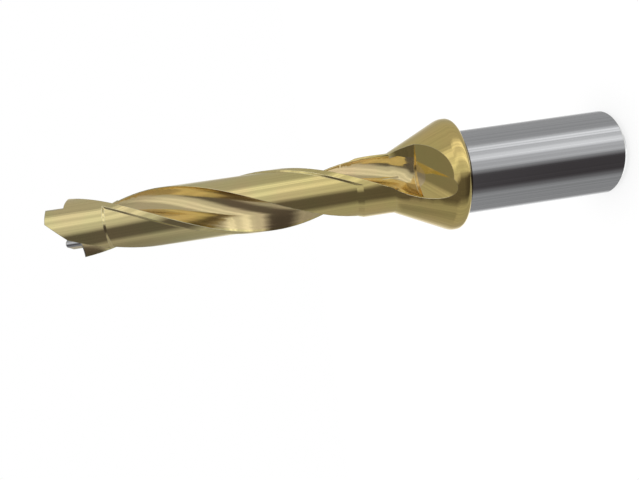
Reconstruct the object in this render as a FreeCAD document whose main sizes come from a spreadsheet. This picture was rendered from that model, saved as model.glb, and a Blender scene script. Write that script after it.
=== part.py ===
import FreeCAD, Part
import math
import os
import Sketcher

# Drill body for an exchangeable tip: a ground shank, a cone-shaped flange and a drill
# section with two helical flutes, turned and milled from one steel bar.
# Millimetres and degrees. Z is the drill's axis, with the shank's end at Z = 0 and the nose up.

doc = FreeCAD.newDocument("drill_body")

# Driving dimensions
SIZES = [
    ("shank_diameter", 32.0, "ground shank that the tool holder grips"),
    ("shank_length", 60.0, "shank's end to the flange's back face"),
    ("shank_chamfer", 2.0, "chamfer round the shank's end"),
    ("undercut_width", 1.5, "grinding undercut beside the flange"),
    ("undercut_depth", 0.4, ""),
    ("face_relief_width", 0.6, "how far the undercut runs out over the flange's back face"),
    ("face_relief_depth", 0.2, ""),
    ("flange_diameter", 42.6, "largest diameter of the flange"),
    ("flange_back_round", 2.4, "round between the back face and the rim"),
    ("rim_width", 0.6, "straight part of the rim"),
    ("flange_front_round", 6.0, "round between the rim and the cone"),
    ("cone_half_angle", 25.7, "cone from the flange down to the drill section"),
    ("drill_diameter", 22.8, "full diameter of the drill section"),
    ("reach", 149.9, "flange's back face to the tips of the jaws"),
    ("flute_lead", 158.0, "rise of the flutes in one turn"),
    ("flute_opening", 84.0, "angle between the two edges of a flute"),
    ("flute_radius", 8.05, "radius of a flute's floor"),
    ("web_diameter", 8.6, "core left between the two flutes"),
    ("flute_end", 16.0, "flange's back face to the end wall of the flutes"),
    ("flute_phase", -122.6, "direction of a leading edge at the flute's end wall"),
    ("margin_angle", 11.3, "full-diameter strip behind each leading edge"),
    ("land_clearance", 0.6, "depth ground off the rest of each land"),
    ("clearance_slope", 45.0, "slope of the step beside the strip and of the wall in front"),
    ("clearance_run_in", 2.4, "half the length over which the ground lands begin"),
    ("clearance_start", 36.8, "flange's back face to the start of the ground lands"),
    ("clearance_stop", 20.0, "tips of the jaws to the end of the ground lands"),
    ("runout_slope", 49.3, "angle between the axis and the run-out floor"),
    ("runout_floor_radius", 9.2, "distance of the floor's inner edge from the axis"),
    ("runout_turn", 30.3, "turn of the run-out trough across the floor"),
    ("runout_radius", 7.1, "radius of the run-out trough"),
    ("trough_side", 3.5, "start of the trough's centre line, along the floor's inner edge"),
    ("trough_back", 1.6, "the same, up the floor"),
    ("trough_height", 6.2, "trough's centre line above the floor"),
    ("jaw_height", 6.2, "height of the jaws above the seats"),
    ("drive_offset", 5.7, "distance of a drive face from the axis"),
    ("drive_angle", 65.0, "leading edge to the direction of the drive face behind it"),
    ("slot_width", 6.8, "gap between the inner ends of the jaws"),
    ("jaw_round", 1.3, "round between a jaw's inner end and its drive face"),
    ("pocket_diameter", 10.6, "round pocket between the jaws"),
    ("bevel_angle", 63.7, "leading edge to the top edge of the jaw's bevel"),
    ("bevel_slope", 47.0, "slope of the bevel behind the jaw's flat top"),
    ("stub_diameter", 6.0, "blind bore in the pocket's floor for the tip's stub"),
    ("stub_depth", 9.0, ""),
    ("inlet_diameter", 10.0, "coolant inlet in the shank"),
    ("inlet_depth", 48.0, ""),
    ("duct_diameter", 3.5, "coolant duct through the web"),
    ("drill_point", 118.0, "point angle of the drills that made the bores"),
]

sheet = doc.addObject("Spreadsheet::Sheet", "Sizes")
for row, (alias, size, note) in enumerate(SIZES, start=1):
    sheet.set(f"A{row}", alias)
    sheet.set(f"B{row}", str(size))
    sheet.set(f"C{row}", note)
    sheet.setAlias(f"B{row}", alias)
doc.recompute()

# Heights along the axis, worked out from the driving dimensions
NOSE = "(Sizes.shank_length + Sizes.reach)"
SEAT = f"({NOSE} - Sizes.jaw_height)"
FLUTE_END = "(Sizes.shank_length + Sizes.flute_end)"
CLEARANCE_START = "(Sizes.shank_length + Sizes.clearance_start)"
CLEARANCE_STOP = f"({NOSE} - Sizes.clearance_stop)"
TWIST = "(360 / Sizes.flute_lead)"

# How far the cuts reach past the part
CUTTER_REACH = "(Sizes.flange_diameter / 2 + 3)"
ABOVE_NOSE = f"({NOSE} + 1)"
RING_INNER = "(Sizes.drill_diameter / 2 - Sizes.land_clearance)"
RING_OUTER = "(Sizes.drill_diameter / 2 + Sizes.land_clearance)"
RING_EASE = "(Sizes.land_clearance / tan(Sizes.clearance_slope))"
RING_BOTTOM = f"({CLEARANCE_START} - Sizes.clearance_run_in)"
RING_TOP = f"({CLEARANCE_STOP} + {RING_EASE})"

body = doc.addObject("PartDesign::Body", "DrillBody")
body.Label = "drill_body"


def number(expression):
    """The value that an expression of the sheet has now."""
    result = sheet.evalExpression(expression)
    return float(getattr(result, "Value", result))


def leading_edge(height):
    """Direction of a flute's leading edge at a height, as an expression."""
    return f"(Sizes.flute_phase + {TWIST} * ({height} - {FLUTE_END}))"


def own(owner, role):
    """One of the planes or axes of a body's own origin."""
    return next(feature for feature in owner.Origin.OriginFeatures if feature.Role == role)


def new_sketch(name, plane, height="0", turn="0", owner=body):
    """A sketch on one of a body's own planes, raised along its normal and turned about it."""
    sketch = owner.newObject("Sketcher::SketchObject", name)
    sketch.AttachmentSupport = [(own(owner, plane), "")]
    sketch.MapMode = "FlatFace"
    sketch.setExpression("AttachmentOffset.Base.z", height)
    sketch.setExpression("AttachmentOffset.Rotation.Angle", turn)
    return sketch


def dimension(sketch, kind, name, expression, *elements):
    """A named dimension of a sketch, bound to the sheet."""
    start = number(expression)
    if kind == "Angle":
        start = math.radians(start)
    index = sketch.addConstraint(Sketcher.Constraint(kind, *elements, start))
    sketch.renameConstraint(index, name)
    sketch.setExpression(f"Constraints.{name}", expression)


def join(sketch, *pairs):
    """Coincident ends: each pair is (curve, end, curve, end)."""
    for pair in pairs:
        sketch.addConstraint(Sketcher.Constraint("Coincident", *pair))


def line(sketch, start, end):
    return sketch.addGeometry(Part.LineSegment(FreeCAD.Vector(*start, 0), FreeCAD.Vector(*end, 0)))


def arc(sketch, centre, radius, first, last):
    circle = Part.Circle(FreeCAD.Vector(*centre, 0), FreeCAD.Vector(0, 0, 1), radius)
    return sketch.addGeometry(Part.ArcOfCircle(circle, math.radians(first), math.radians(last)))


def polar(radius, angle):
    return (radius * math.cos(math.radians(angle)), radius * math.sin(math.radians(angle)))


# Sketcher's numbers for the points of a curve
START, END, CENTRE = range(1, 4)
X_AXIS, Y_AXIS = -1, -2
ORIGIN = (-1, 1)


def turned_blank():
    """The bar turned to the outer form: shank, undercut, flange and drill section."""
    sketch = new_sketch("TurnedProfile", "XZ_Plane")
    shank = number("Sizes.shank_diameter / 2")
    length = number("Sizes.shank_length")
    chamfer = number("Sizes.shank_chamfer")
    undercut = shank - number("Sizes.undercut_depth")
    undercut_foot = length - number("Sizes.undercut_width")
    relief = shank + number("Sizes.face_relief_width")
    relief_floor = length + number("Sizes.face_relief_depth")
    rim = number("Sizes.flange_diameter / 2")
    back = number("Sizes.flange_back_round")
    front = number("Sizes.flange_front_round")
    slope = number("Sizes.cone_half_angle")
    rim_top = length + back + number("Sizes.rim_width")
    drill = number("Sizes.drill_diameter / 2")
    nose = number(NOSE)
    cone_start = (rim - front + front * math.cos(math.radians(slope)),
                  rim_top + front * math.sin(math.radians(slope)))
    cone_top = cone_start[1] + (cone_start[0] - drill) / math.tan(math.radians(slope))

    end_face = line(sketch, (0, 0), (shank - chamfer, 0))
    end_chamfer = line(sketch, (shank - chamfer, 0), (shank, chamfer))
    shank_side = line(sketch, (shank, chamfer), (shank, undercut_foot))
    undercut_step = line(sketch, (shank, undercut_foot), (undercut, undercut_foot))
    undercut_side = line(sketch, (undercut, undercut_foot), (undercut, relief_floor))
    relief_face = line(sketch, (undercut, relief_floor), (relief, relief_floor))
    relief_side = line(sketch, (relief, relief_floor), (relief, length))
    back_face = line(sketch, (relief, length), (rim - back, length))
    back_round = arc(sketch, (rim - back, length + back), back, -90, 0)
    rim_side = line(sketch, (rim, length + back), (rim, rim_top))
    front_round = arc(sketch, (rim - front, rim_top), front, 0, slope)
    cone_side = line(sketch, cone_start, (drill, cone_top))
    drill_side = line(sketch, (drill, cone_top), (drill, nose))
    nose_face = line(sketch, (drill, nose), (0, nose))
    axis_side = line(sketch, (0, nose), (0, 0))

    join(sketch,
         (end_face, END, end_chamfer, START),
         (end_chamfer, END, shank_side, START),
         (shank_side, END, undercut_step, START),
         (undercut_step, END, undercut_side, START),
         (undercut_side, END, relief_face, START),
         (relief_face, END, relief_side, START),
         (relief_side, END, back_face, START),
         (cone_side, END, drill_side, START),
         (drill_side, END, nose_face, START),
         (nose_face, END, axis_side, START),
         (axis_side, END, end_face, START),
         (end_face, START, *ORIGIN))
    for curve in (end_face, undercut_step, relief_face, back_face, nose_face):
        sketch.addConstraint(Sketcher.Constraint("Horizontal", curve))
    for curve in (shank_side, undercut_side, relief_side, rim_side, drill_side, axis_side):
        sketch.addConstraint(Sketcher.Constraint("Vertical", curve))
    for first, first_end, second, second_end in (
            (back_face, END, back_round, START), (back_round, END, rim_side, START),
            (rim_side, END, front_round, START), (front_round, END, cone_side, START)):
        sketch.addConstraint(Sketcher.Constraint("Tangent", first, first_end, second, second_end))

    dimension(sketch, "DistanceX", "shank_radius", "Sizes.shank_diameter / 2", *ORIGIN, shank_side, START)
    dimension(sketch, "DistanceY", "chamfer_height", "Sizes.shank_chamfer", *ORIGIN, shank_side, START)
    dimension(sketch, "DistanceX", "chamfer_width", "Sizes.shank_chamfer", end_chamfer, START, end_chamfer, END)
    dimension(sketch, "DistanceX", "undercut_depth", "Sizes.undercut_depth",
              undercut_step, END, undercut_step, START)
    dimension(sketch, "DistanceY", "undercut_width", "Sizes.undercut_width",
              undercut_side, START, relief_side, END)
    dimension(sketch, "DistanceX", "face_relief_radius", "Sizes.shank_diameter / 2 + Sizes.face_relief_width",
              *ORIGIN, relief_side, START)
    dimension(sketch, "DistanceY", "face_relief_depth", "Sizes.face_relief_depth",
              relief_side, END, relief_side, START)
    dimension(sketch, "DistanceY", "shank_length", "Sizes.shank_length", *ORIGIN, back_face, START)
    dimension(sketch, "DistanceX", "rim_radius", "Sizes.flange_diameter / 2", *ORIGIN, rim_side, START)
    dimension(sketch, "Radius", "back_round", "Sizes.flange_back_round", back_round)
    dimension(sketch, "DistanceY", "rim_width", "Sizes.rim_width", rim_side, START, rim_side, END)
    dimension(sketch, "Radius", "front_round", "Sizes.flange_front_round", front_round)
    dimension(sketch, "Angle", "cone_angle", "Sizes.cone_half_angle", axis_side, END, cone_side, START)
    dimension(sketch, "DistanceX", "drill_radius", "Sizes.drill_diameter / 2", *ORIGIN, drill_side, START)
    dimension(sketch, "DistanceY", "nose_height", NOSE, *ORIGIN, nose_face, END)

    blank = body.newObject("PartDesign::Revolution", "TurnedBlank")
    blank.Profile = sketch
    blank.ReferenceAxis = (sketch, ["V_Axis"])
    blank.Angle = 360
    return blank


def closed_outline(sketch, points):
    """Straight lines round the points, joined at their ends; returns the lines."""
    edges = [line(sketch, start, points[(index + 1) % len(points)]) for index, start in enumerate(points)]
    join(sketch, *((edge, END, edges[(index + 1) % len(edges)], START) for index, edge in enumerate(edges)))
    return edges


def stepped_bore():
    """Coolant inlet, duct, stub bore and the round pocket between the jaws, all on the axis."""
    sketch = new_sketch("BoreProfile", "XZ_Plane")
    taper = "tan(Sizes.drill_point / 2)"
    steps = [
        ("inlet", "Sizes.inlet_diameter / 2", "0"),
        ("inlet_floor", "Sizes.inlet_diameter / 2", "Sizes.inlet_depth"),
        ("duct", "Sizes.duct_diameter / 2",
         f"Sizes.inlet_depth + (Sizes.inlet_diameter - Sizes.duct_diameter) / 2 / {taper}"),
        ("duct_top", "Sizes.duct_diameter / 2",
         f"{SEAT} - Sizes.stub_depth - (Sizes.stub_diameter - Sizes.duct_diameter) / 2 / {taper}"),
        ("stub", "Sizes.stub_diameter / 2", f"{SEAT} - Sizes.stub_depth"),
        ("stub_top", "Sizes.stub_diameter / 2", SEAT),
        ("pocket", "Sizes.pocket_diameter / 2", SEAT),
        ("pocket_top", "Sizes.pocket_diameter / 2", ABOVE_NOSE),
    ]
    corners = [(number(radius), number(height)) for _, radius, height in steps]
    top = corners[-1][1]
    edges = closed_outline(sketch, corners + [(0, top), (0, 0)])
    for edge, (name, radius, height) in zip(edges, steps):
        dimension(sketch, "DistanceX", f"{name}_radius", radius, *ORIGIN, edge, START)
        if name == "inlet":
            sketch.addConstraint(Sketcher.Constraint("PointOnObject", edge, START, X_AXIS))
        else:
            dimension(sketch, "DistanceY", f"{name}_height", height, *ORIGIN, edge, START)
    sketch.addConstraint(Sketcher.Constraint("Horizontal", edges[-3]))
    sketch.addConstraint(Sketcher.Constraint("PointOnObject", edges[-2], START, Y_AXIS))
    sketch.addConstraint(Sketcher.Constraint("Coincident", edges[-1], START, *ORIGIN))

    bore = body.newObject("PartDesign::Groove", "SteppedBore")
    bore.Profile = sketch
    bore.ReferenceAxis = (sketch, ["V_Axis"])
    bore.Angle = 360
    return bore


def flute_helix():
    """The helix that turns every section swept along the flutes."""
    helix = doc.addObject("Part::Helix", "FluteHelix")
    helix.setExpression("Pitch", "Sizes.flute_lead")
    helix.setExpression("Radius", "Sizes.drill_diameter / 2")
    helix.setExpression("Height", f"{ABOVE_NOSE} + 1 - {FLUTE_END}")
    helix.setExpression("Placement", f"placement(vector(0; 0; {FLUTE_END}); "
                                     "rotation(vector(0; 0; 1); Sizes.flute_phase))")
    doc.recompute()
    return helix


def helical_cut(name, section, bottom, top, owner=body):
    """Sweep a section up the axis between two heights, turned by the helix, and take it away."""
    path = new_sketch(f"{name}Path", "XZ_Plane", owner=owner)
    edge = line(path, (0, number(bottom)), (0, number(top)))
    path.addConstraint(Sketcher.Constraint("PointOnObject", edge, START, Y_AXIS))
    path.addConstraint(Sketcher.Constraint("Vertical", edge))
    dimension(path, "DistanceY", "bottom", bottom, *ORIGIN, edge, START)
    dimension(path, "DistanceY", "top", top, *ORIGIN, edge, END)
    doc.recompute()
    cut = owner.newObject("PartDesign::SubtractivePipe", name)
    cut.Profile = section
    cut.Spine = (path, ["Edge1"])
    cut.Mode = "Auxiliary"
    cut.AuxiliarySpine = (doc.getObject("FluteHelix"), ["Edge1"])
    cut.AuxiliaryCurvilinear = False
    return cut


def flute():
    """One flute: round floor, straight side up to the heel, and an undercut leading edge.

    The sketch's X axis runs midway between the two edges of the flute.
    """
    sketch = new_sketch("FluteSection", "XY_Plane", FLUTE_END, "Sizes.flute_phase + Sizes.flute_opening / 2")
    drill = number("Sizes.drill_diameter / 2")
    half = number("Sizes.flute_opening / 2")
    radius = number("Sizes.flute_radius")
    web = number("Sizes.web_diameter / 2")
    outside = number(CUTTER_REACH)
    heel = polar(drill, half)
    # the floor's centre stands off the core and off the leading edge by known distances
    lean = math.acos(((web + radius) ** 2 + drill ** 2 - radius ** 2) / (2 * (web + radius) * drill))
    centre = polar(web + radius, math.degrees(lean) - half)
    # the straight side runs from the heel and touches the floor
    to_centre = math.hypot(centre[0] - heel[0], centre[1] - heel[1])
    facing = math.atan2(centre[1] - heel[1], centre[0] - heel[0])
    slope = facing - math.asin(radius / to_centre) + math.pi
    touch = math.degrees(slope) + 90
    side_start = (centre[0] + radius * math.cos(math.radians(touch)),
                  centre[1] + radius * math.sin(math.radians(touch)))
    side_end = (outside, side_start[1] + (outside - side_start[0]) * math.tan(slope))

    floor = arc(sketch, centre, radius, touch, 270)
    heel_side = line(sketch, side_start, side_end)
    outer_side = line(sketch, side_end, (outside, centre[1] - radius))
    leading_side = line(sketch, (outside, centre[1] - radius), (centre[0], centre[1] - radius))
    core = sketch.addGeometry(Part.Circle(FreeCAD.Vector(0, 0, 0), FreeCAD.Vector(0, 0, 1), web))
    to_heel = line(sketch, (0, 0), heel)
    to_edge = line(sketch, (0, 0), polar(drill, -half))
    for guide in (core, to_heel, to_edge):
        sketch.setConstruction(guide, True)
    join(sketch,
         (heel_side, END, outer_side, START),
         (outer_side, END, leading_side, START),
         (core, CENTRE, *ORIGIN),
         (to_heel, START, *ORIGIN),
         (to_edge, START, *ORIGIN))
    sketch.addConstraint(Sketcher.Constraint("Tangent", floor, START, heel_side, START))
    sketch.addConstraint(Sketcher.Constraint("Tangent", floor, END, leading_side, END))
    sketch.addConstraint(Sketcher.Constraint("Horizontal", leading_side))
    sketch.addConstraint(Sketcher.Constraint("Vertical", outer_side))
    sketch.addConstraint(Sketcher.Constraint("Tangent", floor, core))
    sketch.addConstraint(Sketcher.Constraint("PointOnObject", to_heel, END, heel_side))
    sketch.addConstraint(Sketcher.Constraint("PointOnObject", to_edge, END, floor))
    dimension(sketch, "Radius", "flute_radius", "Sizes.flute_radius", floor)
    dimension(sketch, "Radius", "web_radius", "Sizes.web_diameter / 2", core)
    dimension(sketch, "DistanceX", "outside", CUTTER_REACH, *ORIGIN, outer_side, START)
    dimension(sketch, "Distance", "heel_radius", "Sizes.drill_diameter / 2", to_heel)
    dimension(sketch, "Distance", "edge_radius", "Sizes.drill_diameter / 2", to_edge)
    dimension(sketch, "Angle", "heel_angle", "Sizes.flute_opening / 2", X_AXIS, START, to_heel, START)
    dimension(sketch, "Angle", "edge_angle", "-Sizes.flute_opening / 2", X_AXIS, START, to_edge, START)
    return helical_cut("Flute", sketch, FLUTE_END, ABOVE_NOSE)


def clearance_ring(ring):
    """The ring that holds all that is ground off the lands, with a slow start and a sloping front."""
    sketch = new_sketch("RingProfile", "XZ_Plane", owner=ring)
    inner, outer = number(RING_INNER), number(RING_OUTER)
    run_in, ease = number("Sizes.clearance_run_in"), number(RING_EASE)
    start, stop = number(CLEARANCE_START), number(CLEARANCE_STOP)
    corners = [(inner, start + run_in), (inner, stop - ease), (outer, stop + ease), (outer, start - run_in)]
    ground_side, front_wall, outside, slow_start = closed_outline(sketch, corners)
    for side in (ground_side, outside):
        sketch.addConstraint(Sketcher.Constraint("Vertical", side))
    dimension(sketch, "DistanceX", "ground_radius", RING_INNER, *ORIGIN, ground_side, START)
    dimension(sketch, "DistanceX", "outer_radius", RING_OUTER, *ORIGIN, outside, START)
    dimension(sketch, "DistanceY", "start_foot", f"{CLEARANCE_START} + Sizes.clearance_run_in",
              *ORIGIN, ground_side, START)
    dimension(sketch, "DistanceY", "wall_foot", f"{CLEARANCE_STOP} - {RING_EASE}", *ORIGIN, ground_side, END)
    dimension(sketch, "DistanceY", "wall_top", RING_TOP, *ORIGIN, outside, START)
    dimension(sketch, "DistanceY", "start_top", RING_BOTTOM, *ORIGIN, outside, END)
    turned = ring.newObject("PartDesign::Revolution", "Ring")
    turned.Profile = sketch
    turned.ReferenceAxis = (sketch, ["V_Axis"])
    turned.Angle = 360
    return turned


def margin_window(ring):
    """Opening of the ring along one flute and the full-diameter margin behind its leading edge.

    The sketch's X axis points to the leading edge.
    """
    bottom, top = f"({RING_BOTTOM} - 1)", f"({RING_TOP} + 1)"
    sketch = new_sketch("WindowSection", "XY_Plane", bottom, leading_edge(bottom), owner=ring)
    drill = number("Sizes.drill_diameter / 2")
    margin = number("Sizes.margin_angle")
    slope = math.radians(number("Sizes.clearance_slope"))
    middle = number("Sizes.flute_opening / 2")
    inside = "(Sizes.drill_diameter / 2 - 3 * Sizes.land_clearance)"
    near, far = number(inside), number(CUTTER_REACH)

    def on_step(radius):
        """Where the sloping step crosses a circle about the axis."""
        turn = math.asin(drill * math.sin(slope) / radius) - slope
        return polar(radius, -margin - math.degrees(turn))

    step, outer_side, flute_side, inner_side = closed_outline(
        sketch, [on_step(near), on_step(far), polar(far, middle), polar(near, middle)])
    to_margin = line(sketch, (0, 0), polar(drill, -margin))
    sketch.setConstruction(to_margin, True)
    join(sketch, (to_margin, START, *ORIGIN))
    sketch.addConstraint(Sketcher.Constraint("PointOnObject", to_margin, END, step))
    sketch.addConstraint(Sketcher.Constraint("PointOnObject", *ORIGIN, flute_side))
    dimension(sketch, "Distance", "drill_radius", "Sizes.drill_diameter / 2", to_margin)
    dimension(sketch, "Angle", "margin", "-Sizes.margin_angle", X_AXIS, START, to_margin, START)
    dimension(sketch, "Angle", "slope", "Sizes.clearance_slope - Sizes.margin_angle", X_AXIS, START, step, START)
    dimension(sketch, "Angle", "middle", "Sizes.flute_opening / 2", X_AXIS, START, flute_side, END)
    dimension(sketch, "Distance", "step_inside", inside, *ORIGIN, step, START)
    dimension(sketch, "Distance", "step_outside", CUTTER_REACH, *ORIGIN, step, END)
    dimension(sketch, "Distance", "flute_inside", inside, *ORIGIN, flute_side, END)
    dimension(sketch, "Distance", "flute_outside", CUTTER_REACH, *ORIGIN, flute_side, START)
    return helical_cut("MarginWindow", sketch, bottom, top, owner=ring)


def ground_off():
    """A body of its own for what the grinding wheel takes off both lands."""
    ring = doc.addObject("PartDesign::Body", "GroundOff")
    ring.AllowCompound = True
    volume = built(clearance_ring(ring), 0, 1)
    window = margin_window(ring)
    volume = built(window, volume, -1)
    built(polar_pattern("BothWindows", [window], ring), volume, -1)
    return ring


def land_clearance(ring):
    """Both lands ground back behind their full-diameter margins."""
    cut = body.newObject("PartDesign::Boolean", "LandClearance")
    cut.setObjects([ring])
    cut.Type = "Cut"
    return cut


def polar_pattern(name, features, owner=body):
    """The same cuts on the other side of the axis too."""
    pattern = owner.newObject("PartDesign::PolarPattern", name)
    pattern.Originals = features
    pattern.Axis = (own(owner, "Z_Axis"), [""])
    pattern.Angle = 360
    pattern.Occurrences = 2
    owner.Tip = pattern
    return pattern


RUNOUT_FLOOR = (f"placement(vector(0; -Sizes.runout_floor_radius; {FLUTE_END}); "
                "rotation(vector(1; 0; 0); 90 - Sizes.runout_slope))")


def angled_sketch(name, placement):
    """A sketch on a plane that is set at an angle to the body's own planes."""
    sketch = body.newObject("Sketcher::SketchObject", name)
    sketch.AttachmentSupport = [(own(body, "XY_Plane"), "")]
    sketch.MapMode = "FlatFace"
    sketch.setExpression("AttachmentOffset", placement)
    return sketch


def outward_cut(name, sketch, length):
    """A pocket that cuts from its sketch outwards, to the side that the sketch faces."""
    cut = body.newObject("PartDesign::Pocket", name)
    cut.Profile = sketch
    cut.Type = "Length"
    cut.Reversed = True
    cut.setExpression("Length", length)
    return cut


def runout_floor():
    """Flat ramp that carries the chips out of a flute through the cone."""
    sketch = angled_sketch("RunoutFloorOutline", RUNOUT_FLOOR)
    turn = number("Sizes.runout_turn")
    side = number("Sizes.trough_side")
    reach = number(CUTTER_REACH)
    foot = -1.5 * reach
    corners = [(side, 0), (side + foot * math.tan(math.radians(turn)), foot), (reach, foot), (reach, 0)]
    trough_side, low_side, far_side, inner_side = closed_outline(sketch, corners)
    sketch.addConstraint(Sketcher.Constraint("Horizontal", low_side))
    sketch.addConstraint(Sketcher.Constraint("Vertical", far_side))
    sketch.addConstraint(Sketcher.Constraint("PointOnObject", inner_side, START, X_AXIS))
    sketch.addConstraint(Sketcher.Constraint("PointOnObject", inner_side, END, X_AXIS))
    dimension(sketch, "DistanceX", "side", "Sizes.trough_side", *ORIGIN, inner_side, END)
    dimension(sketch, "DistanceX", "reach", CUTTER_REACH, *ORIGIN, inner_side, START)
    dimension(sketch, "DistanceY", "foot", f"1.5 * {CUTTER_REACH}", far_side, START, far_side, END)
    dimension(sketch, "Angle", "turn", "90 - Sizes.runout_turn", low_side, START, trough_side, END)
    return outward_cut("RunoutFloor", sketch, CUTTER_REACH)


def runout_trough():
    """Round trough along one side of the ramp, where the flute's floor runs out."""
    sketch = angled_sketch("RunoutTroughSection", f"{RUNOUT_FLOOR} * "
                           "placement(vector(Sizes.trough_side; Sizes.trough_back; Sizes.trough_height); "
                           "rotation(vector(0; 0; 1); -Sizes.runout_turn) * rotation(vector(1; 0; 0); 90))")
    radius = number("Sizes.runout_radius")
    trough = sketch.addGeometry(Part.Circle(FreeCAD.Vector(0, 0, 0), FreeCAD.Vector(0, 0, 1), radius))
    join(sketch, (trough, CENTRE, *ORIGIN))
    dimension(sketch, "Radius", "trough_radius", "Sizes.runout_radius", trough)
    return outward_cut("RunoutTrough", sketch, f"2 * {CUTTER_REACH}")


def tip_seat():
    """Flat seat for one wing of the tip, in front of a jaw's drive face.

    The sketch's X axis runs along the drive face.
    """
    sketch = new_sketch("SeatOutline", "XY_Plane", NOSE, f"{leading_edge(SEAT)} - Sizes.drive_angle")
    side = number("Sizes.drill_diameter")
    offset = number("Sizes.drive_offset")
    half_slot = number("Sizes.slot_width / 2")
    corner = number("Sizes.jaw_round")
    jaw_end = line(sketch, (half_slot, 0), (half_slot, offset - corner))
    jaw_corner = arc(sketch, (half_slot + corner, offset - corner), corner, 90, 180)
    drive_side = line(sketch, (half_slot + corner, offset), (side, offset))
    outer_side = line(sketch, (side, offset), (side, side))
    far_side = line(sketch, (side, side), (-half_slot, side))
    inner_side = line(sketch, (-half_slot, side), (-half_slot, 0))
    slot_side = line(sketch, (-half_slot, 0), (half_slot, 0))
    join(sketch,
         (drive_side, END, outer_side, START),
         (outer_side, END, far_side, START),
         (far_side, END, inner_side, START),
         (inner_side, END, slot_side, START),
         (slot_side, END, jaw_end, START))
    sketch.addConstraint(Sketcher.Constraint("Tangent", jaw_end, END, jaw_corner, END))
    sketch.addConstraint(Sketcher.Constraint("Tangent", jaw_corner, START, drive_side, START))
    for edge in (drive_side, far_side, slot_side):
        sketch.addConstraint(Sketcher.Constraint("Horizontal", edge))
    for edge in (outer_side, inner_side, jaw_end):
        sketch.addConstraint(Sketcher.Constraint("Vertical", edge))
    sketch.addConstraint(Sketcher.Constraint("PointOnObject", slot_side, START, X_AXIS))
    dimension(sketch, "Radius", "jaw_round", "Sizes.jaw_round", jaw_corner)
    dimension(sketch, "DistanceY", "drive_offset", "Sizes.drive_offset", *ORIGIN, outer_side, START)
    dimension(sketch, "DistanceX", "slot_near", "Sizes.slot_width / 2", *ORIGIN, jaw_end, START)
    dimension(sketch, "DistanceX", "slot_far", "Sizes.slot_width / 2", slot_side, START, *ORIGIN)
    dimension(sketch, "DistanceX", "outer", "Sizes.drill_diameter", *ORIGIN, outer_side, START)
    dimension(sketch, "DistanceY", "far", "Sizes.drill_diameter", *ORIGIN, far_side, START)
    seat = body.newObject("PartDesign::Pocket", "TipSeat")
    seat.Profile = sketch
    seat.Type = "Length"
    seat.setExpression("Length", "Sizes.jaw_height")
    return seat


def jaw_bevel():
    """Sloping back of one jaw, from its flat top down to its heel."""
    facing = f"({leading_edge(SEAT)} - Sizes.bevel_angle + 90)"
    sketch = angled_sketch("BevelOutline", f"placement(vector(0; 0; {NOSE}); "
                           f"rotation(vector(0; 0; 1); {facing}) * rotation(vector(1; 0; 0); 90))")
    width = number("Sizes.drill_diameter / 2")
    fall = width * math.tan(math.radians(number("Sizes.bevel_slope")))
    slope_side, back_side, top_side = closed_outline(sketch, [(0, 0), (-width, -fall), (-width, 0)])
    join(sketch, (slope_side, START, *ORIGIN))
    sketch.addConstraint(Sketcher.Constraint("Vertical", back_side))
    sketch.addConstraint(Sketcher.Constraint("Horizontal", top_side))
    dimension(sketch, "DistanceX", "width", "Sizes.drill_diameter / 2", top_side, START, top_side, END)
    dimension(sketch, "Angle", "slope", "Sizes.bevel_slope", top_side, END, slope_side, START)
    return outward_cut("JawBevel", sketch, CUTTER_REACH)


LEAST_CHANGE = 1.0


def check_object(thing):
    if "Invalid" in thing.State or "Error" in thing.State:
        raise RuntimeError(f"{thing.Name} failed: {thing.State}")


def built(feature, previous_volume, sign):
    """Recompute, and stop if the feature failed or did not change the volume as it should."""
    doc.recompute()
    check_object(feature)
    volume = feature.Shape.Volume
    if sign * (volume - previous_volume) < LEAST_CHANGE:
        raise RuntimeError(f"{feature.Name} left the volume at {volume:.0f} mm3")
    print(f"{feature.Name}: {volume:.0f} mm3, {len(feature.Shape.Faces)} faces")
    return volume


volume = built(turned_blank(), 0, 1)
volume = built(stepped_bore(), volume, -1)
flute_helix()
volume = built(land_clearance(ground_off()), volume, -1)
both_sides = []
for make in (flute, runout_floor, runout_trough, tip_seat, jaw_bevel):
    feature = make()
    volume = built(feature, volume, -1)
    both_sides.append(feature)

volume = built(polar_pattern("SecondSide", both_sides), volume, -1)

for thing in doc.Objects:
    check_object(thing)
shape = body.Shape
if shape.isNull() or not shape.isValid() or len(shape.Solids) != 1:
    raise RuntimeError("drill_body is not one valid solid")

os.makedirs("parts", exist_ok=True)
shape.exportStep(f"parts/{body.Label}.step")
print(f"drill_body: {shape.Volume:.0f} mm3, {len(shape.Faces)} faces, box {shape.BoundBox}")
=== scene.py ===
import math

import bpy
from mathutils import Matrix, Vector


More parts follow.
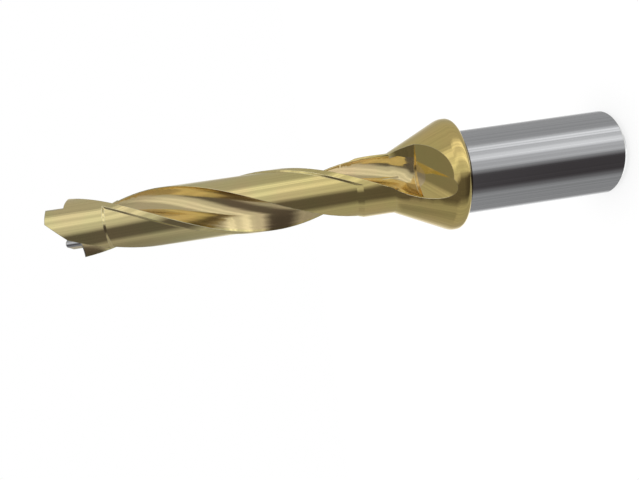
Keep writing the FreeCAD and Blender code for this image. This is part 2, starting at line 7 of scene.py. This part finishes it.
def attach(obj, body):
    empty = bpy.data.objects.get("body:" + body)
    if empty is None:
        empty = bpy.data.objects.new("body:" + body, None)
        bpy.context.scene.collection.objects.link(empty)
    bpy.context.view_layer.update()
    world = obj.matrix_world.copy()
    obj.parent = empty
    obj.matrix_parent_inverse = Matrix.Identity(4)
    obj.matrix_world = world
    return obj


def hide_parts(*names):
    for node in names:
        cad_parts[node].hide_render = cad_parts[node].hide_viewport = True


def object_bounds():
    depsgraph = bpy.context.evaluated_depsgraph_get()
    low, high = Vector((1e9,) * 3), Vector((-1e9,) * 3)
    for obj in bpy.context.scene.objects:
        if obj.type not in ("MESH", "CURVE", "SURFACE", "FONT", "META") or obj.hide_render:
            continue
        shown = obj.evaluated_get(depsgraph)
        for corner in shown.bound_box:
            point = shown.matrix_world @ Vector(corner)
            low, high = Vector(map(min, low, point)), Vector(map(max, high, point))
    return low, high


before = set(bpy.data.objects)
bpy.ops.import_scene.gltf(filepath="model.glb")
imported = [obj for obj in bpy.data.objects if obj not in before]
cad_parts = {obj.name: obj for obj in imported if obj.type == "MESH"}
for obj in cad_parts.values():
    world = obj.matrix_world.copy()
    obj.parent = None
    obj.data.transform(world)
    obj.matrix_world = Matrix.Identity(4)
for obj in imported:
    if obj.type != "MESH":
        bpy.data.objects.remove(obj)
cad_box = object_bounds()


# Camera
# It stands close beside the drill, at the height of the middle of the flutes. It is rolled
# over, so the drill lies across the picture with its nose to the left.

PHOTO_WIDTH = 639               # pixels
FOCAL_LENGTH = 495.2            # pixels
SENSOR_WIDTH = 36.0             # mm
camera_place = Vector((0.0, -0.18937, 0.12309))
picture_right = Vector((-0.14308, -0.05690, -0.98807)).normalized()
picture_up = Vector((0.98535, 0.08537, -0.14761))
picture_back = picture_right.cross(picture_up).normalized()
picture_up = picture_back.cross(picture_right)

lens = bpy.data.cameras.new("camera")
lens.sensor_width = SENSOR_WIDTH
lens.lens = FOCAL_LENGTH / PHOTO_WIDTH * SENSOR_WIDTH
lens.clip_start = 0.005
camera = bpy.data.objects.new("camera", lens)
camera.matrix_world = Matrix.Translation(camera_place) @ Matrix(
    (picture_right, picture_up, picture_back)).transposed().to_4x4()
bpy.context.scene.collection.objects.link(camera)
bpy.context.scene.camera = camera
bpy.context.scene.view_settings.view_transform = "Standard"


# Drill body
# One bar of tool steel. The shank is left bare as it was ground, everything in front of it has a
# thin gold-coloured nitride coating, and the pocket for the tip is machined bare again.

MM = 0.001
SHANK_TOP = 60.0 * MM
NOSE = cad_box[1][2]
SEAT = NOSE - 6.2 * MM
POCKET_RADIUS = 5.3 * MM
STUB_RADIUS = 3.0 * MM
DRIVE_OFFSET = 5.7 * MM
DRIVE_DIRECTION = math.radians(-78.2)
JAW_GAP = 4.7 * MM
UNDERCUT = (58.3 * MM, 60.25 * MM, 16.05 * MM)      # lowest and highest point, radius
SKIN = 0.06 * MM                # a mask reaches this far past a face

# The flutes are milled with a round wheel and then honed out between their ends, which gives
# them a flat side behind the leading edge and a tighter floor near the heel. Their section is
# seen against the axis, with X midway between a flute's two edges and the heel on the plus side.
DRILL_RADIUS = 11.4 * MM
LAND_RADIUS = 10.8 * MM
FLUTE_END = 76.0 * MM
FLUTE_LEAD = 158.0 * MM
FLUTE_MIDDLE = math.radians(-80.6)          # direction of X at the flutes' end wall
HALF_OPENING = math.radians(42.0)
WHEEL_RADIUS, WHEEL_CORE = 8.05 * MM, 4.3 * MM
HONED_RADIUS, HONED_CORE = 6.0 * MM, 3.1 * MM
HONED_LEAN = math.radians(-9.0)             # of the flat side, from the ray through the edge
HONED_RUN_IN = (77.0 * MM, 85.0 * MM)       # heights where honing begins and is full
HONED_RUN_OUT = (202.0 * MM, 194.0 * MM)    # and the same at the nose
HEEL_FADE = 1.2 * MM                        # below the lands, where the honed side meets the heel
FLUTE_TOLERANCE = 0.02 * MM                 # corners of the solid's mesh lie this near the flute
FACE_TOLERANCE = 0.3 * MM                   # and the middles of its faces this near
TURN_TOLERANCE = 0.002                      # radians past a flute's two edges that still count
SAME_SPOT = 0.0005 * MM                     # points that round to one such step are one point
SPLIT = 3                                   # parts that an edge of a flute's face is split into


def ray_at(turn):
    """A direction from the wheel's centre: 0 points at the axis, plus turns to the heel."""
    return Vector((-math.cos(turn), math.sin(turn)))


def turn_of(place):
    """The direction of a place in the section, seen from the wheel's centre."""
    return math.atan2(place.y - wheel.y, wheel.x - place.x)


def crossing(start, end, ray):
    """How far from the wheel's centre a ray meets a straight side."""
    side = end - start
    return (start - wheel).cross(side) / ray.cross(side)


def touch_point(place, centre, radius):
    """Where a straight side from a place touches a round floor, on the side of the axis."""
    away = place - centre
    spread = math.acos(radius / away.length)
    facing = math.atan2(away.y, away.x)
    touches = [centre + radius * Vector((math.cos(facing + turn), math.sin(facing + turn)))
               for turn in (spread, -spread)]
    return min(touches, key=lambda touch: touch.length)


def section(centre, radius, edge_touch, heel_touch):
    """A flute's section as a function from a turn to the distance from the wheel's centre."""
    first, last = turn_of(edge_touch), turn_of(heel_touch)

    def reach(turn):
        ray = ray_at(turn)
        if turn < first and edge_touch != edge:
            return crossing(edge, edge_touch, ray)
        if turn > last:
            return crossing(heel_touch, heel, ray)
        away = centre - wheel
        middle = away.dot(ray)
        return middle + math.sqrt(middle ** 2 - away.length_squared + radius ** 2)
    return reach


edge = DRILL_RADIUS * Vector((math.cos(HALF_OPENING), -math.sin(HALF_OPENING)))
heel = DRILL_RADIUS * Vector((math.cos(HALF_OPENING), math.sin(HALF_OPENING)))

# the wheel stands clear of the core, and its circle runs through the flute's leading edge
wheel_reach = WHEEL_RADIUS + WHEEL_CORE
wheel_lean = math.acos((wheel_reach ** 2 + DRILL_RADIUS ** 2 - WHEEL_RADIUS ** 2)
                       / (2 * wheel_reach * DRILL_RADIUS)) - HALF_OPENING
wheel = wheel_reach * Vector((math.cos(wheel_lean), math.sin(wheel_lean)))
as_milled = section(wheel, WHEEL_RADIUS, edge, touch_point(heel, wheel, WHEEL_RADIUS))
edge_turn, heel_turn = turn_of(edge), turn_of(heel)

# the honed floor touches the flat side, which runs inward from the edge, and the thinner core
side_angle = math.pi - HALF_OPENING + HONED_LEAN
inward = Vector((math.cos(side_angle), math.sin(side_angle)))
beside = edge + HONED_RADIUS * Vector((inward.y, -inward.x))
slide = -beside.dot(inward) - math.sqrt(
    beside.dot(inward) ** 2 - beside.length_squared + (HONED_CORE + HONED_RADIUS) ** 2)
honed = beside + slide * inward
as_honed = section(honed, HONED_RADIUS, edge + slide * inward, touch_point(heel, honed, HONED_RADIUS))


def fade(value, none, full):
    """0 at one value to 1 at the other, with soft ends."""
    share = min(1.0, max(0.0, (value - none) / (full - none)))
    return share * share * (3 - 2 * share)


def helix_turn(height):
    """The direction of X in the section at a height."""
    return FLUTE_MIDDLE + 2 * math.pi * (height - FLUTE_END) / FLUTE_LEAD


def flute_point(turn, height, side):
    """A point of the honed flute that is on one side (0 or 1) of the axis."""
    ray = ray_at(turn)
    reach = as_milled(turn)
    share = fade(height, *HONED_RUN_IN) * fade(height, *HONED_RUN_OUT)
    if turn > 0:
        share *= fade((wheel + reach * ray).length, LAND_RADIUS, LAND_RADIUS - HEEL_FADE)
    if share:
        reach += share * (as_honed(turn) - reach)
    place = wheel + reach * ray
    facing = helix_turn(height) + side * math.pi
    return Vector((place.x * math.cos(facing) - place.y * math.sin(facing),
                   place.x * math.sin(facing) + place.y * math.cos(facing), height))


def flute_normal(turn, height, side):
    """The direction that the honed flute faces there."""
    step, rise = 0.0005, 0.005 * MM
    across = flute_point(turn + step, height, side) - flute_point(turn - step, height, side)
    along = flute_point(turn, height + rise, side) - flute_point(turn, height - rise, side)
    return across.cross(along).normalized()


def flute_place(point):
    """The turn of a point in the nearer flute's section, that flute's side, and its place."""
    facing = math.atan2(point.y, point.x) - helix_turn(point.z)
    side = round(facing / math.pi)
    facing -= side * math.pi
    place = point.xy.length * Vector((math.cos(facing), math.sin(facing)))
    return turn_of(place), side % 2, place


def off_flute(point):
    """How far a point is from the flute as it was milled."""
    turn, _, place = flute_place(point)
    if not edge_turn - TURN_TOLERANCE < turn < heel_turn + TURN_TOLERANCE:
        return DRILL_RADIUS
    return abs((place - wheel).length - as_milled(turn))


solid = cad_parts["drill_body"].data
corners = [vertex.co.copy() for vertex in solid.vertices]
spots = [tuple(round(value / SAME_SPOT) for value in corner) for corner in corners]
lowest, highest = HONED_RUN_IN[0] - MM, HONED_RUN_OUT[0] + MM
on_flute = [lowest < corner.z < highest and off_flute(corner) < FLUTE_TOLERANCE for corner in corners]
flute_faces = {face.index for face in solid.polygons
               if all(on_flute[index] for index in face.vertices)
               and off_flute(face.center) < FACE_TOLERANCE}
flute_corners, flute_edges = set(), set()
for index in flute_faces:
    rim = [spots[corner] for corner in solid.polygons[index].vertices]
    flute_corners.update(rim)
    flute_edges.update(frozenset(ends) for ends in zip(rim, rim[1:] + rim[:1]))

points, numbers = [], {}


def numbered(point):
    """The number of a point in the new mesh. Points in one spot share it."""
    spot = tuple(round(value / SAME_SPOT) for value in point)
    if spot not in numbers:
        numbers[spot] = len(points)
        points.append(point)
    return numbers[spot]


faces, normals = [], []


def split_flute_face(rim):
    """Divide a face of a flute into small ones that lie on the honed form."""
    places = [flute_place(corners[index]) for index in rim]
    side = places[0][1]
    grid = {}
    for row in range(SPLIT + 1):
        for column in range(SPLIT + 1 - row):
            shares = [(SPLIT - row - column) / SPLIT, column / SPLIT, row / SPLIT]
            turn = sum(share * place[0] for share, place in zip(shares, places))
            height = sum(share * corners[index].z for share, index in zip(shares, rim))
            grid[row, column] = numbered(flute_point(turn, height, side)), flute_normal(turn, height, side)
    for row in range(SPLIT):
        for column in range(SPLIT - row):
            trios = [((row, column), (row, column + 1), (row + 1, column))]
            if row + column < SPLIT - 1:
                trios.append(((row, column + 1), (row + 1, column + 1), (row + 1, column)))
            for trio in trios:
                faces.append([grid[key][0] for key in trio])
                normals.extend(grid[key][1] for key in trio)


def keep_face(rim, facing):
    """Keep another face, with the points that a neighbouring flute gave its edges."""
    face = []
    for here, there, normal, next_normal in zip(rim, rim[1:] + rim[:1], facing, facing[1:] + facing[:1]):
        start, end = flute_place(corners[here]), flute_place(corners[there])
        moved = spots[here] in flute_corners
        face.append(numbered(flute_point(start[0], corners[here].z, start[1]) if moved else corners[here]))
        normals.append(normal)
        if frozenset((spots[here], spots[there])) in flute_edges:
            for part in range(1, SPLIT):
                share = part / SPLIT
                turn = start[0] + share * (end[0] - start[0])
                height = corners[here].z + share * (corners[there].z - corners[here].z)
                face.append(numbered(flute_point(turn, height, start[1])))
                normals.append(normal.lerp(next_normal, share).normalized())
    faces.append(face)


for face in solid.polygons:
    if face.index in flute_faces:
        split_flute_face(list(face.vertices))
    else:
        own_normals = [solid.corner_normals[loop].vector.copy() for loop in face.loop_indices]
        keep_face(list(face.vertices), own_normals)

honed_mesh = bpy.data.meshes.new("honed_drill_body")
honed_mesh.from_pydata([tuple(point) for point in points], [], faces)
honed_mesh.polygons.foreach_set("use_smooth", [True] * len(faces))
honed_mesh.normals_split_custom_set([tuple(normal) for normal in normals])
body = bpy.data.objects.new("honed_drill_body", honed_mesh)
bpy.context.scene.collection.objects.link(body)
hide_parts("drill_body")
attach(body, "root")


def linear(hex_colour):
    """An sRGB hex value as the linear RGBA that Blender's sockets take."""
    channels = [int(hex_colour[i:i + 2], 16) / 255 for i in (1, 3, 5)]
    return tuple(c / 12.92 if c <= 0.04045 else ((c + 0.055) / 1.055) ** 2.4 for c in channels) + (1.0,)


def add(tree, kind, settings=None, **inputs):
    """Add a node with its settings and inputs.

    An input is named by its socket, or by i and its number. It is a value, a socket to link
    from, or a node whose first live output is linked.
    """
    node = tree.nodes.new(kind)
    for name, value in (settings or {}).items():
        setattr(node, name, value)
    for name, value in inputs.items():
        socket = node.inputs[int(name[1:])] if name[1:].isdigit() else node.inputs[name.replace("_", " ")]
        if isinstance(value, bpy.types.Node):
            value = next(output for output in value.outputs if output.enabled)
        if isinstance(value, bpy.types.NodeSocket):
            tree.links.new(value, socket)
        else:
            socket.default_value = value
    return node


# Nitride-coated tool steel: a metal mirror softened by grinding. The coating gives the eye a pale
# # yellow that turns orange where one face mirrors another, and edges are painted paler, partly as worn
# coating and partly as a painted highlight.
steel = bpy.data.materials.new("nitride_coated_tool_steel")
steel.use_nodes = True
tree = steel.node_tree
tree.nodes.clear()
place = add(tree, "ShaderNodeTexCoord").outputs["Object"]
xyz = add(tree, "ShaderNodeSeparateXYZ", i0=place)
height = xyz.outputs["Z"]
flat = add(tree, "ShaderNodeCombineXYZ", X=xyz.outputs["X"], Y=xyz.outputs["Y"])
from_axis = add(tree, "ShaderNodeVectorMath", {"operation": "LENGTH"}, i0=flat)

# bare pocket: its bore, the drive faces and the inner ends of the jaws
along = add(tree, "ShaderNodeVectorMath", {"operation": "DOT_PRODUCT"}, i0=flat,
            i1=(math.cos(DRIVE_DIRECTION), math.sin(DRIVE_DIRECTION), 0.0))
across = add(tree, "ShaderNodeVectorMath", {"operation": "DOT_PRODUCT"}, i0=flat,
             i1=(-math.sin(DRIVE_DIRECTION), math.cos(DRIVE_DIRECTION), 0.0))
in_bore = add(tree, "ShaderNodeMath", {"operation": "LESS_THAN"}, i0=from_axis, i1=POCKET_RADIUS + SKIN)
off_middle = add(tree, "ShaderNodeMath", {"operation": "ABSOLUTE"}, i0=across)
drive_face = add(tree, "ShaderNodeMath", {"operation": "COMPARE"}, i0=off_middle, i1=DRIVE_OFFSET, i2=SKIN)
off_centre = add(tree, "ShaderNodeMath", {"operation": "ABSOLUTE"}, i0=along)
inner_end = add(tree, "ShaderNodeMath", {"operation": "LESS_THAN"}, i0=off_centre, i1=JAW_GAP)
quarter = add(tree, "ShaderNodeMath", {"operation": "MULTIPLY"}, i0=across, i1=along)
own_side = add(tree, "ShaderNodeMath", {"operation": "GREATER_THAN"}, i0=quarter, i1=0.0)
drive = add(tree, "ShaderNodeMath", {"operation": "MAXIMUM"}, i0=drive_face, i1=inner_end)
drive = add(tree, "ShaderNodeMath", {"operation": "MULTIPLY"}, i0=drive, i1=own_side)
pocket = add(tree, "ShaderNodeMath", {"operation": "MAXIMUM"}, i0=in_bore, i1=drive)
above_seat = add(tree, "ShaderNodeMath", {"operation": "GREATER_THAN"}, i0=height, i1=SEAT - 5 * SKIN)
pocket = add(tree, "ShaderNodeMath", {"operation": "MULTIPLY"}, i0=pocket, i1=above_seat)

# coated: everything in front of the shank except the pocket and the deep holes, which stay bare
in_front = add(tree, "ShaderNodeMath", {"operation": "GREATER_THAN"}, i0=height, i1=SHANK_TOP - SKIN)
in_hole = add(tree, "ShaderNodeMath", {"operation": "LESS_THAN"}, i0=from_axis, i1=STUB_RADIUS + SKIN)
bare = add(tree, "ShaderNodeMath", {"operation": "MAXIMUM"}, i0=pocket, i1=in_hole)
coated = add(tree, "ShaderNodeMath", {"operation": "SUBTRACT", "use_clamp": True}, i0=in_front, i1=bare)

# flutes: their own look begins a little under the lands and is full at the second depth
UNDER_LAND = (0.15 * MM, 0.45 * MM)
in_flute = add(tree, "ShaderNodeMapRange", Value=from_axis, From_Min=LAND_RADIUS - UNDER_LAND[0],
               From_Max=LAND_RADIUS - UNDER_LAND[1])
in_flute = add(tree, "ShaderNodeMath", {"operation": "MULTIPLY"}, i0=in_flute, i1=coated)

# colour: it turns paler towards the nose and warmer in the flutes, with faint warm and olive
# patches about 12 mm across
nearness = add(tree, "ShaderNodeMapRange", Value=height, From_Min=70.0 * MM, From_Max=160.0 * MM)
gold = add(tree, "ShaderNodeMix", {"data_type": "RGBA"}, i0=nearness, i6=linear("#EBD38C"),
           i7=linear("#EBDBA6"))
gold = add(tree, "ShaderNodeMix", {"data_type": "RGBA"}, i0=in_flute, i6=gold, i7=linear("#EBD5A8"))
PATCHES = 1 / (11.76 * MM)
patches = add(tree, "ShaderNodeTexNoise", Vector=place, Scale=PATCHES, Detail=2.0, Roughness=0.5)
warmth = add(tree, "ShaderNodeValToRGB", i0=patches)
warmth.color_ramp.elements[0].position = 0.35
warmth.color_ramp.elements[0].color = linear("#FAFFF4")
warmth.color_ramp.elements[1].position = 0.65
warmth.color_ramp.elements[1].color = linear("#FFFCF6")
gold = add(tree, "ShaderNodeMix", {"data_type": "RGBA", "blend_type": "MULTIPLY"}, i0=1.0, i6=gold,
           i7=warmth)
BARE_STEEL = "#C6C7C9"
metal = add(tree, "ShaderNodeMix", {"data_type": "RGBA"}, i0=coated, i6=linear(BARE_STEEL), i7=gold)

# edges: on a rounding of 0.3 mm, which also catches the light, the colour is painted paler, partly as
# thinner worn coating and partly as a painted highlight
EDGE_ROUND = 0.30 * MM
rounded = add(tree, "ShaderNodeBevel", {"samples": 6}, Radius=EDGE_ROUND)
surface = add(tree, "ShaderNodeNewGeometry")
bend = add(tree, "ShaderNodeVectorMath", {"operation": "DOT_PRODUCT"}, i0=rounded,
           i1=surface.outputs["Normal"])
# painted highlight and wear: the paler edge colour is mixed in by how much the rounding bends the normal
wear_and_painted_highlight = add(tree, "ShaderNodeMapRange", Value=bend, From_Min=0.995, From_Max=0.90, To_Min=0.0, To_Max=0.9)
metal = add(tree, "ShaderNodeMix", {"data_type": "RGBA"}, i0=wear_and_painted_highlight, i6=metal, i7=linear("#F3EBCB"))

# the cone was turned with a round-nosed tool, which leaves no sharp corner where it meets the
# drill section: the normal tips over evenly within 3 mm of it
CONE_TOP = 84.94 * MM
CONE_SLOPE = math.tan(math.radians(25.7))
CORNER_REACH = 3.0 * MM
SAME_WAY = 0.95                 # how alike the two normals are at least on a turned face
slope = add(tree, "ShaderNodeMapRange", {"interpolation_type": "SMOOTHSTEP"}, Value=height,
            From_Min=CONE_TOP - CORNER_REACH, From_Max=CONE_TOP + CORNER_REACH,
            To_Min=CONE_SLOPE, To_Max=0.0)
upward = add(tree, "ShaderNodeCombineXYZ", Z=slope)
outward = add(tree, "ShaderNodeVectorMath", {"operation": "NORMALIZE"}, i0=flat)
tipped = add(tree, "ShaderNodeVectorMath", {"operation": "ADD"}, i0=outward, i1=upward)
tipped = add(tree, "ShaderNodeVectorMath", {"operation": "NORMALIZE"}, i0=tipped)
near_corner = add(tree, "ShaderNodeMath", {"operation": "COMPARE"}, i0=height, i1=CONE_TOP,
                  i2=CORNER_REACH)
alike = add(tree, "ShaderNodeVectorMath", {"operation": "DOT_PRODUCT"}, i0=tipped,
            i1=surface.outputs["Normal"])
turned_face = add(tree, "ShaderNodeMath", {"operation": "GREATER_THAN"}, i0=alike, i1=SAME_WAY)
soft_corner = add(tree, "ShaderNodeMath", {"operation": "MULTIPLY"}, i0=near_corner, i1=turned_face)
softened = add(tree, "ShaderNodeMix", {"data_type": "VECTOR"}, i0=soft_corner, i4=rounded, i5=tipped)

# painted shade: the undercut beside the flange is darkened where shade falls into it
PAINTED_SHADE_COVER = 0.8
below = add(tree, "ShaderNodeMath", {"operation": "GREATER_THAN"}, i0=height, i1=UNDERCUT[0])
above = add(tree, "ShaderNodeMath", {"operation": "LESS_THAN"}, i0=height, i1=UNDERCUT[1])
inside = add(tree, "ShaderNodeMath", {"operation": "LESS_THAN"}, i0=from_axis, i1=UNDERCUT[2])
undercut_painted_shade = add(tree, "ShaderNodeMath", {"operation": "MULTIPLY"}, i0=below, i1=above)
undercut_painted_shade = add(tree, "ShaderNodeMath", {"operation": "MULTIPLY"}, i0=undercut_painted_shade, i1=inside)
undercut_painted_shade = add(tree, "ShaderNodeMath", {"operation": "MULTIPLY"}, i0=undercut_painted_shade, i1=PAINTED_SHADE_COVER)
# painted shade: mix a dark brown into the undercut's colour
metal = add(tree, "ShaderNodeMix", {"data_type": "RGBA"}, i0=undercut_painted_shade, i6=metal, i7=linear("#4C463C"))

# lines of cylindrical grinding run round the axis, drawn 0.25 mm apart instead of 0.02 mm
RING_LINES = 1 / (0.25 * MM)
rings = add(tree, "ShaderNodeTexNoise", {"noise_dimensions": "1D"}, W=height, Scale=RING_LINES, Detail=2.0)

# lines of flute grinding follow the helix, about 1.6 mm apart: the place is turned back with the
# lead, so they run along the flutes
FLUTE_LINES = 1 / (1.6 * MM)
untwist = add(tree, "ShaderNodeMath", {"operation": "MULTIPLY"}, i0=height, i1=-2 * math.pi / FLUTE_LEAD)
turned = add(tree, "ShaderNodeVectorRotate", {"rotation_type": "Z_AXIS"}, Vector=flat, Angle=untwist)
flute_lines = add(tree, "ShaderNodeTexNoise", Vector=turned, Scale=FLUTE_LINES, Detail=1.0, Roughness=0.5)

# buffing after coating leaves the coated faces a little wavy, about 15 mm from crest to crest
WAVES = 1 / (15.0 * MM)
waves = add(tree, "ShaderNodeTexNoise", Vector=place, Scale=WAVES, Detail=1.0)

# how deep each of these marks is drawn
RING_DEPTH, WAVE_DEPTH, FLUTE_LINE_DEPTH = 0.0015 * MM, 0.12 * MM, 0.04 * MM
ring_bump = add(tree, "ShaderNodeBump", Distance=RING_DEPTH, Height=rings, Normal=softened)
wave_bump = add(tree, "ShaderNodeBump", Strength=coated, Distance=WAVE_DEPTH, Height=waves,
                Normal=ring_bump)
flute_bump = add(tree, "ShaderNodeBump", Strength=in_flute, Distance=FLUTE_LINE_DEPTH,
                 Height=flute_lines, Normal=wave_bump)

# turned and ground faces are nearly mirrors, and the flutes are a little duller
roughness = add(tree, "ShaderNodeMapRange", Value=rings, From_Min=0.3, From_Max=0.7,
                To_Min=0.06, To_Max=0.11)
honing = add(tree, "ShaderNodeMapRange", Value=flute_lines, From_Min=0.3, From_Max=0.7,
             To_Min=0.12, To_Max=0.20)
roughness = add(tree, "ShaderNodeMix", i0=in_flute, i2=roughness, i3=honing)

shader = add(tree, "ShaderNodeBsdfPrincipled", Base_Color=metal, Metallic=1.0, Roughness=roughness,
             Normal=flute_bump)
add(tree, "ShaderNodeOutputMaterial", Surface=shader)
honed_mesh.materials.append(steel)


# Floor
# A plain white painted floor under the end of the shank. Its shade comes only from the drill,
# and the metal doesn't mirror it.

FLOOR_HALF = 3.0                # m
floor_mesh = bpy.data.meshes.new("floor")
floor_corners = [(x * FLOOR_HALF, y * FLOOR_HALF, 0) for x, y in ((-1, -1), (1, -1), (1, 1), (-1, 1))]
floor_mesh.from_pydata(floor_corners, [], [(0, 1, 2, 3)])
floor = bpy.data.objects.new("floor", floor_mesh)
bpy.context.scene.collection.objects.link(floor)
floor.visible_glossy = False
paint = bpy.data.materials.new("white_floor_paint")
paint.use_nodes = True
tree = paint.node_tree
tree.nodes.clear()
shaded = add(tree, "ShaderNodeBsdfDiffuse", Color=linear("#959595"))
glow = add(tree, "ShaderNodeEmission", Color=linear("#FFFFFF"), Strength=0.75)
both = add(tree, "ShaderNodeAddShader", i0=shaded, i1=glow)
add(tree, "ShaderNodeOutputMaterial", Surface=both)
floor_mesh.materials.append(paint)


# Studio
# A white room lights the drill from all sides. Its walls show in the metal: a window with two
# panes and a curtain on one side, a dark doorway next to it, and grey walls with a lamp behind.

studio = bpy.data.worlds.new("studio")
studio.use_nodes = True
bpy.context.scene.world = studio
tree = studio.node_tree
tree.nodes.clear()

# parts of the walls, in round figures: where each begins and ends round the drill, in degrees
# from -Y towards +X, and its brightness. Between two parts the brightness runs over evenly.
WALL_PARTS = [
    (-180, -160, 0.95),         # lamp behind, left half
    (-135, -70, 0.40),          # grey wall
    (-50, -12, 0.12),           # doorway
    (5, 20, 0.60),              # curtain
    (30, 35, 0.90),             # pane
    (43, 50, 0.70),             # bar between the panes
    (55, 62, 0.90),             # pane
    (75, 145, 0.45),            # grey wall
    (170, 180, 0.80),           # lamp behind, right half
]
WARM_SHADE = (1.0, 0.92, 0.94)  # tint of the darkest wall
FULL_TINT, NO_TINT = 0.12, 0.32 # brightness where the tint is full, and where it is gone

facing = add(tree, "ShaderNodeTexCoord").outputs["Generated"]
xyz = add(tree, "ShaderNodeSeparateXYZ", i0=facing)
upness = xyz.outputs["Z"]
front = add(tree, "ShaderNodeMath", {"operation": "MULTIPLY"}, i0=xyz.outputs["Y"], i1=-1.0)
angle = add(tree, "ShaderNodeMath", {"operation": "ARCTAN2"}, i0=xyz.outputs["X"], i1=front)

# the walls' upper parts stand a little further round
FURTHER_ROUND = math.radians(15)
lead = add(tree, "ShaderNodeMapRange", Value=upness, From_Min=0.10, From_Max=0.50,
           To_Min=0.0, To_Max=FURTHER_ROUND)
leaning = add(tree, "ShaderNodeMath", {"operation": "ADD"}, i0=angle, i1=lead)
turn = add(tree, "ShaderNodeMapRange", Value=leaning, From_Min=-math.pi, From_Max=math.pi)
walls = add(tree, "ShaderNodeValToRGB", i0=turn)
stops = walls.color_ramp.elements
stops.remove(stops[1])
wall_ends = [(degrees, level) for start, end, level in WALL_PARTS for degrees in (start, end)]
for index, (degrees, level) in enumerate(wall_ends):
    position = (degrees + 180) / 360
    stop = stops[0] if index == 0 else stops.new(position)
    stop.position = position
    tint = min(1.0, max(0.0, (NO_TINT - level) / (NO_TINT - FULL_TINT)))
    stop.color = tuple(level * (1 + tint * (shade - 1)) for shade in WARM_SHADE) + (1.0,)

# upright slats and frames, about 4 degrees apart, that show as fine lines along the metal
SLATS = 1 / math.radians(4.0)
slats = add(tree, "ShaderNodeTexNoise", {"noise_dimensions": "1D"}, W=angle, Scale=SLATS, Detail=2.0,
            Roughness=0.6)
slats = add(tree, "ShaderNodeMapRange", Value=slats, From_Min=0.3, From_Max=0.7,
            To_Min=0.84, To_Max=1.14)
room = add(tree, "ShaderNodeMix", {"data_type": "RGBA", "blend_type": "MULTIPLY"}, i0=1.0, i6=walls,
           i7=slats)

# the lower walls have more contrast, a grey shelf hangs behind the drill on the left, and
# overhead all fades into one plain ceiling. Heights and sides are those of a direction of length 1
LOW_BEGINS, LOW_FULL = -0.15, -0.50
GREY_SHELF = 0.66               # of the wall's brightness
EVEN_CEILING = 0.23
lowness = add(tree, "ShaderNodeMapRange", Value=upness, From_Min=LOW_BEGINS, From_Max=LOW_FULL,
              To_Min=1.0, To_Max=1.35)
room = add(tree, "ShaderNodeGamma", Color=room, Gamma=lowness)
low_gain = add(tree, "ShaderNodeMapRange", Value=upness, From_Min=LOW_BEGINS, From_Max=LOW_FULL,
               To_Min=1.0, To_Max=1.30)
room = add(tree, "ShaderNodeMix", {"data_type": "RGBA", "blend_type": "MULTIPLY"}, i0=1.0, i6=room,
           i7=low_gain)
high = add(tree, "ShaderNodeMapRange", Value=upness, From_Min=0.10, From_Max=0.30)
behind = add(tree, "ShaderNodeMapRange", Value=xyz.outputs["Y"], From_Min=-0.20, From_Max=0.10)
to_left = add(tree, "ShaderNodeMapRange", Value=xyz.outputs["X"], From_Min=0.05, From_Max=-0.35)
shelf = add(tree, "ShaderNodeMath", {"operation": "MULTIPLY"}, i0=high, i1=behind)
shelf = add(tree, "ShaderNodeMath", {"operation": "MULTIPLY"}, i0=shelf, i1=to_left)
room = add(tree, "ShaderNodeMix", {"data_type": "RGBA", "blend_type": "MULTIPLY"}, i0=shelf, i6=room,
           i7=(GREY_SHELF,) * 3 + (1,))
overhead = add(tree, "ShaderNodeMapRange", Value=upness, From_Min=0.65, From_Max=0.92)
room = add(tree, "ShaderNodeMix", {"data_type": "RGBA"}, i0=overhead, i6=room,
           i7=(EVEN_CEILING,) * 3 + (1,))

rays = add(tree, "ShaderNodeLightPath")
seen = add(tree, "ShaderNodeMix", {"data_type": "RGBA"}, i0=rays.outputs["Is Glossy Ray"],
           i6=linear("#FFFFFF"), i7=room)
background = add(tree, "ShaderNodeBackground", Color=seen, Strength=1.0)
add(tree, "ShaderNodeOutputWorld", Surface=background)
